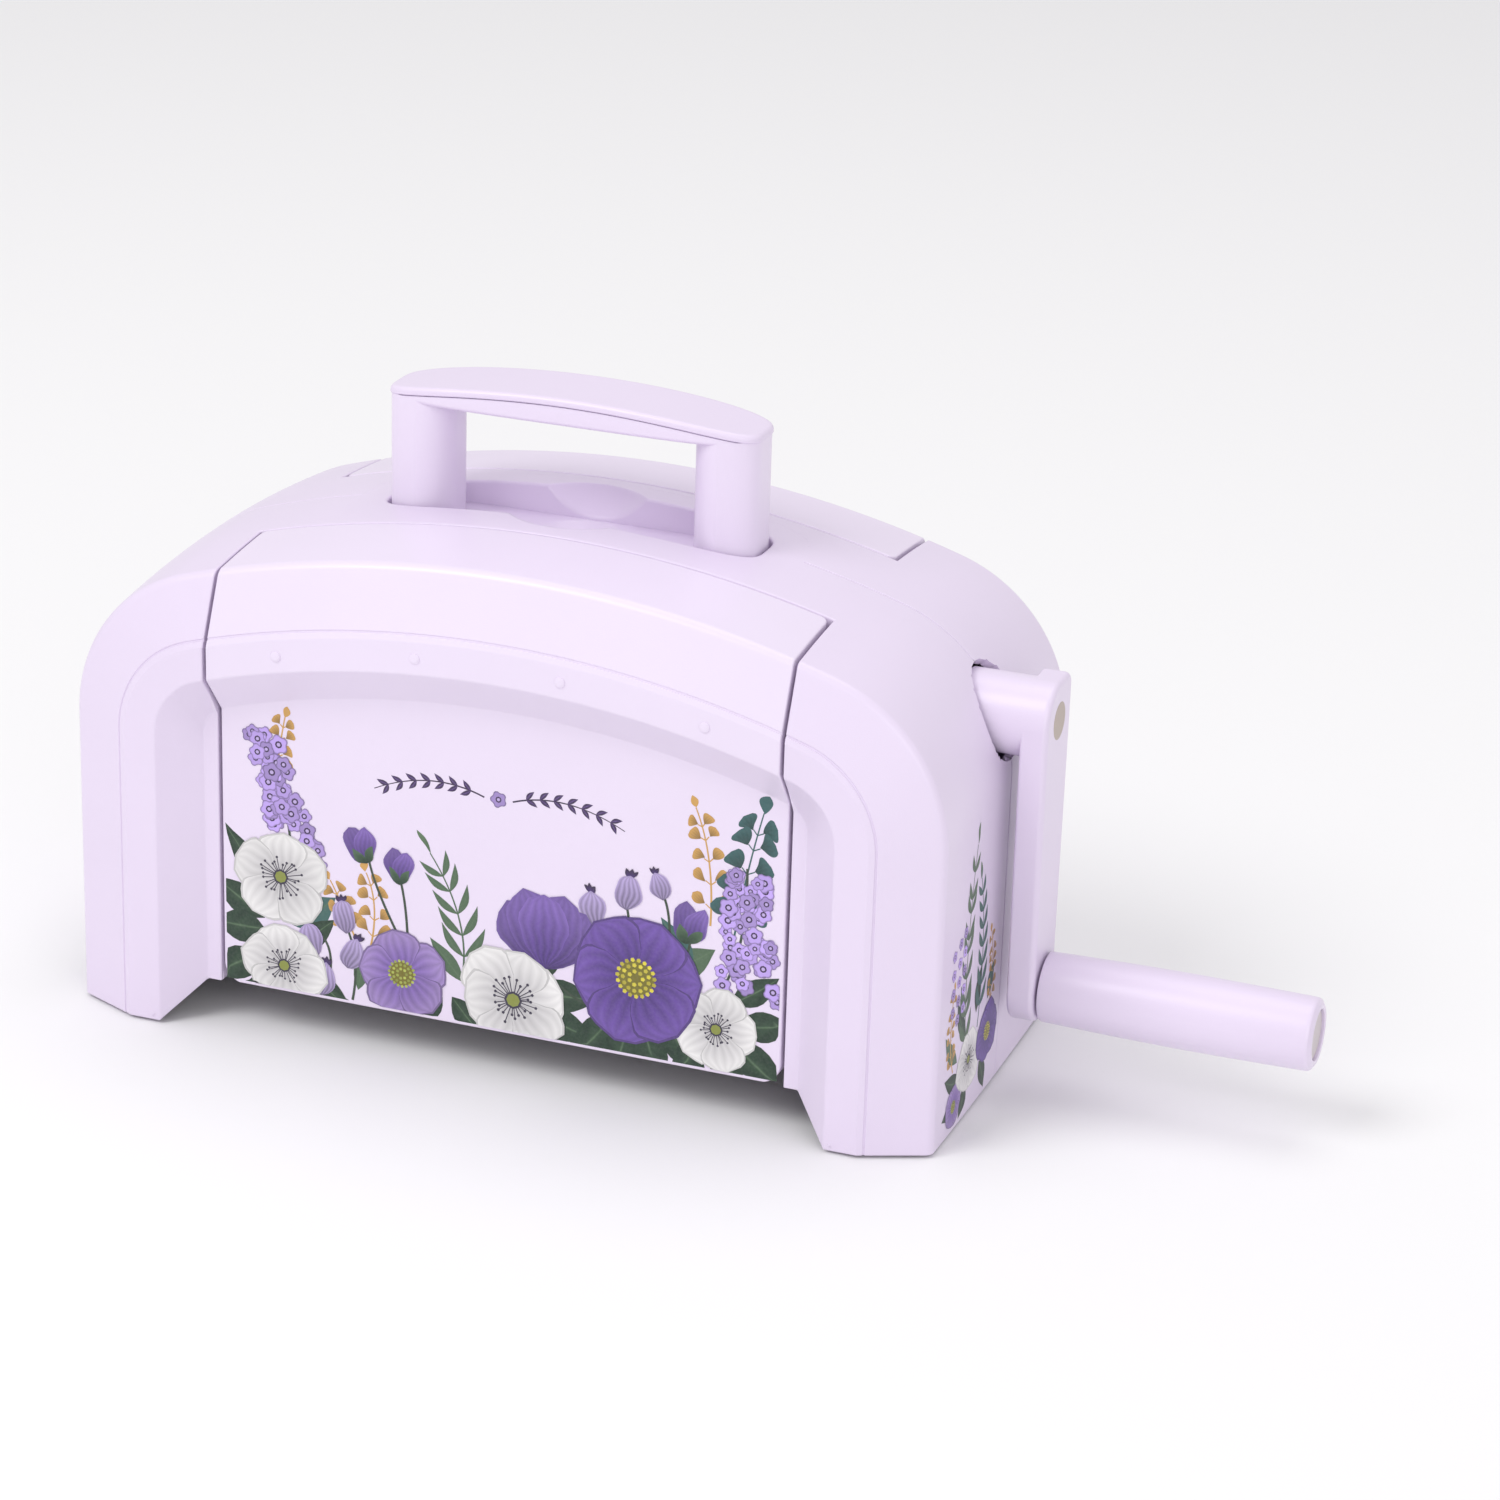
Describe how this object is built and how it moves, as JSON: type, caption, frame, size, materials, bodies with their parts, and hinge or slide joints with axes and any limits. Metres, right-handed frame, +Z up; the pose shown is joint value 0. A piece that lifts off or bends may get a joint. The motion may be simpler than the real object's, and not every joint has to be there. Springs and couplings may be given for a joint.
{
  "type": "die cutting machine",
  "caption": "Hand-cranked roller press for cutting paper and card, in an arched case with fold-down feed platforms and a retracting carry handle.",
  "frame": {"origin": "on the surface that the machine stands on, at the middle of the case's footprint, under the centre rubber foot", "axes": "+Z up; -Y is the front of the machine; +X is the machine's right-hand side as seen from the front, where the crank is"},
  "size_m": [0.4128, 0.1516, 0.2188],
  "materials": {
    "case_plastic": "satin pale lilac",
    "door_plastic": "satin paler lilac, printed with flowers on the panel",
    "grey_plastic": "satin",
    "black_nylon": "matte",
    "rubber_foot": "matte",
    "cap_plastic": "satin beige",
    "zinc_plate": "zinc plated",
    "steel": "ground",
    "bronze": "sintered"
  },
  "bodies": {
    "case": {"front_case": "case_plastic", "rear_case": "case_plastic", "handle_well": "case_plastic", "front_hood": "grey_plastic", "rear_hood": "grey_plastic", "left_post_guide": "grey_plastic", "right_post_guide": "grey_plastic", "front_left_foot": "rubber_foot", "front_right_foot": "rubber_foot", "rear_left_foot": "rubber_foot", "rear_right_foot": "rubber_foot", "centre_foot": "rubber_foot", "front_feed_sill": "zinc_plate", "rear_feed_sill": "zinc_plate", "left_leg_plate": "zinc_plate", "right_leg_plate": "zinc_plate", "left_side_plate": "zinc_plate", "right_side_plate": "zinc_plate", "base_bar": "zinc_plate", "outer_bearing_plate": "zinc_plate", "front_lower_tie_rod": "steel", "front_upper_tie_rod": "steel", "front_gearbox_spacer": "steel", "rear_lower_tie_rod": "steel", "rear_upper_tie_rod": "steel", "rear_gearbox_spacer": "steel", "front_left_hinge_pin": "steel", "front_right_hinge_pin": "steel", "rear_left_hinge_pin": "steel", "rear_right_hinge_pin": "steel", "lower_left_bush": "bronze", "lower_right_bush": "bronze", "upper_left_bush": "bronze", "upper_right_bush": "bronze", "crank_inner_bush": "bronze", "crank_outer_bush": "bronze"},
    "crank": {"crank_shaft": "steel", "drive_pinion": "steel", "crank_arm": "case_plastic", "crank_screw": "steel", "crank_cap": "cap_plastic", "grip_spindle": "steel"},
    "grip": {"crank_grip": "case_plastic", "grip_end_cap": "grey_plastic"},
    "upper_roller": {"upper_roller": "steel", "drive_gear": "steel", "upper_roller_gear": "steel"},
    "lower_roller": {"lower_roller": "steel", "lower_roller_gear": "steel"},
    "front_door": {"front_door": "door_plastic", "front_platform": "grey_plastic"},
    "rear_door": {"rear_door": "door_plastic", "rear_platform": "grey_plastic"},
    "carry_handle": {"handle_frame": "door_plastic", "handle_top_cap": "case_plastic", "left_post_clip": "black_nylon", "right_post_clip": "black_nylon"}
  },
  "joints": [
    {"name": "crank_turn", "type": "hinge", "parent": "case", "child": "crank", "pos_m": [0.15, 0, 0.13], "axis": [1, 0, 0], "continuous": true},
    {"name": "grip_spin", "type": "hinge", "parent": "crank", "child": "grip", "pos_m": [0.215, 0, 0.0365], "axis": [1, 0, 0], "continuous": true},
    {"name": "upper_roller_spin", "type": "hinge", "parent": "case", "child": "upper_roller", "pos_m": [0, 0, 0.075], "axis": [1, 0, 0], "continuous": true},
    {"name": "lower_roller_spin", "type": "hinge", "parent": "case", "child": "lower_roller", "pos_m": [0, 0, 0.031], "axis": [1, 0, 0], "continuous": true},
    {"name": "front_door_fold", "type": "hinge", "parent": "case", "child": "front_door", "pos_m": [0, -0.044, 0.033], "axis": [1, 0, 0], "range_deg": [0, 90]},
    {"name": "rear_door_fold", "type": "hinge", "parent": "case", "child": "rear_door", "pos_m": [0, 0.044, 0.033], "axis": [-1, 0, 0], "range_deg": [0, 90]},
    {"name": "handle_slide", "type": "slide", "parent": "case", "child": "carry_handle", "axis": [0, 0, 1], "range_m": [-0.0398, 0]}
  ],
  "couplings": [
    {"joint": "upper_roller_spin", "follows": "crank_turn", "ratio": -0.30952},
    {"joint": "lower_roller_spin", "follows": "crank_turn", "ratio": 0.30952}
  ]
}
